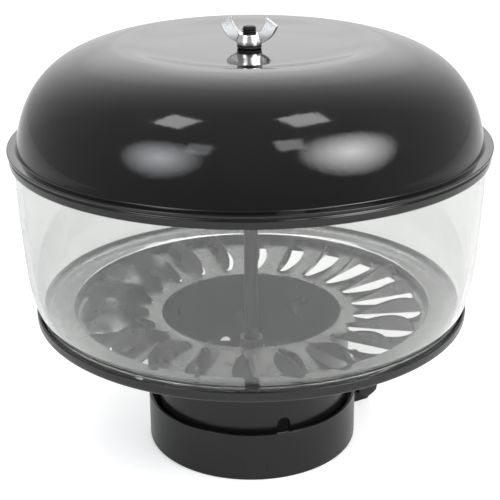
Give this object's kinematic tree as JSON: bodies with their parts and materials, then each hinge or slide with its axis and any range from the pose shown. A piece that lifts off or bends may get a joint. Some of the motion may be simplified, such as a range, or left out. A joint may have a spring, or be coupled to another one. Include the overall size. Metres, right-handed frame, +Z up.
{
  "type": "engine air intake pre-cleaner",
  "caption": "Round engine air intake pre-cleaner: black steel cover over a clear dust bowl, swirl vanes in the base, and a slotted neck with a clamp band that fits an intake pipe.",
  "frame": {"origin": "centre of the neck's bottom edge, which is the lowest point of the part", "axes": "+Z up the centre stud towards the wing nut; +X to the viewer's right, +Y away from the viewer; the clamp bolt is behind and to the right"},
  "size_m": [0.2012, 0.2012, 0.188],
  "materials": {
    "gloss_black_paint": "high-gloss black enamel",
    "satin_black_paint": "semi-gloss black enamel",
    "clear_polycarbonate": "clear, polished",
    "black_rubber": "matt",
    "zinc_plate": "bright zinc plate",
    "dark_steel": "black oxide"
  },
  "bodies": {
    "base": {"base_tray": "satin_black_paint", "vane_ring": "satin_black_paint", "neck_tube": "satin_black_paint", "stud_bar": "satin_black_paint", "centre_stud": "dark_steel", "bowl_seal": "black_rubber", "stud_upper_washer": "zinc_plate", "stud_upper_nut": "zinc_plate", "stud_lower_washer": "zinc_plate", "stud_lower_nut": "zinc_plate"},
    "bowl": {"bowl": "clear_polycarbonate"},
    "cover": {"cover": "gloss_black_paint", "cover_gasket": "black_rubber"},
    "nut_seal": {"seal_washer": "black_rubber"},
    "wing_nut": {"wing_nut": "zinc_plate"},
    "clamp": {"clamp_band": "satin_black_paint", "clamp_nut": "dark_steel", "clamp_nut_washer": "dark_steel"},
    "bolt_washer": {"clamp_bolt_washer": "dark_steel"},
    "clamp_bolt": {"clamp_bolt": "dark_steel"}
  },
  "joints": [
    {"name": "bowl_lift", "type": "slide", "parent": "base", "child": "bowl", "axis": [0, 0, 1], "range_m": [0, 0.12]},
    {"name": "cover_lift", "type": "slide", "parent": "bowl", "child": "cover", "axis": [0, 0, 1], "range_m": [0, 0.08]},
    {"name": "wing_nut_travel", "type": "slide", "parent": "cover", "child": "nut_seal", "axis": [0, 0, 1], "range_m": [0, 0.0085]},
    {"name": "wing_nut_spin", "type": "hinge", "parent": "nut_seal", "child": "wing_nut", "pos_m": [0, 0, 0.1768], "axis": [0, 0, 1], "range_deg": [0, 2880]},
    {"name": "clamp_turn", "type": "hinge", "parent": "base", "child": "clamp", "pos_m": [0, 0, 0.01075], "axis": [0, 0, 1], "continuous": true},
    {"name": "clamp_bolt_travel", "type": "slide", "parent": "clamp", "child": "bolt_washer", "axis": [0.4848, -0.8746, 0], "range_m": [0, 0.0065]},
    {"name": "clamp_bolt_spin", "type": "hinge", "parent": "bolt_washer", "child": "clamp_bolt", "pos_m": [0.04968, 0.02754, 0.0102], "axis": [0.4848, -0.8746, 0], "range_deg": [0, 2160]}
  ],
  "couplings": [
    {"joint": "wing_nut_travel", "follows": "wing_nut_spin", "m_per_rad": 0.00015915},
    {"joint": "clamp_bolt_travel", "follows": "clamp_bolt_spin", "m_per_rad": 0.00015915}
  ]
}
